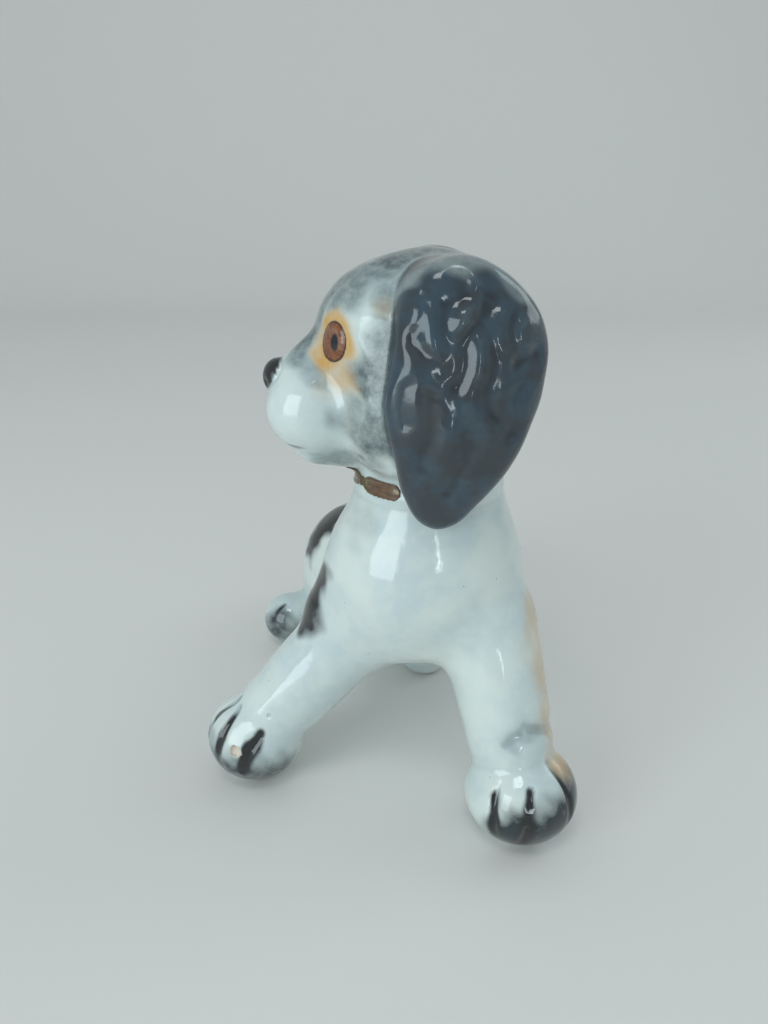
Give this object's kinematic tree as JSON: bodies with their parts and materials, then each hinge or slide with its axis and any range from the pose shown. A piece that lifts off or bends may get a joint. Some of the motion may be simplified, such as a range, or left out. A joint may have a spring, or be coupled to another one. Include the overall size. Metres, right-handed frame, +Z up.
{
  "type": "ceramic dog figurine",
  "caption": "Glazed ceramic puppy figurine sitting back on its haunches, forelegs spread, head turned aside with long dark ears, orange-brown eyes and a small brown bow under the chin.",
  "frame": {"origin": "middle of the footprint, on the floor", "axes": "+Z up, the chest faces -Y, +X is the puppy's own left; its head is turned to its right, towards -X"},
  "size_m": [0.0865, 0.1338, 0.124],
  "materials": {
    "white_glaze": "glossy clear glaze over white slip with grey, black and orange airbrushing",
    "dark_glaze": "glossy dark blue-grey glaze, thinner and browner on the ridges",
    "brown_glaze": "glossy brown painted over the applied bow"
  },
  "bodies": {
    "root": {"torso": "white_glaze", "head": "white_glaze", "ear_left": "dark_glaze", "ear_right": "dark_glaze", "foreleg_left": "white_glaze", "foreleg_right": "white_glaze", "hind_leg_left": "white_glaze", "hind_leg_right": "white_glaze", "tail": "dark_glaze", "neck_bow": "brown_glaze"}
  },
  "joints": []
}
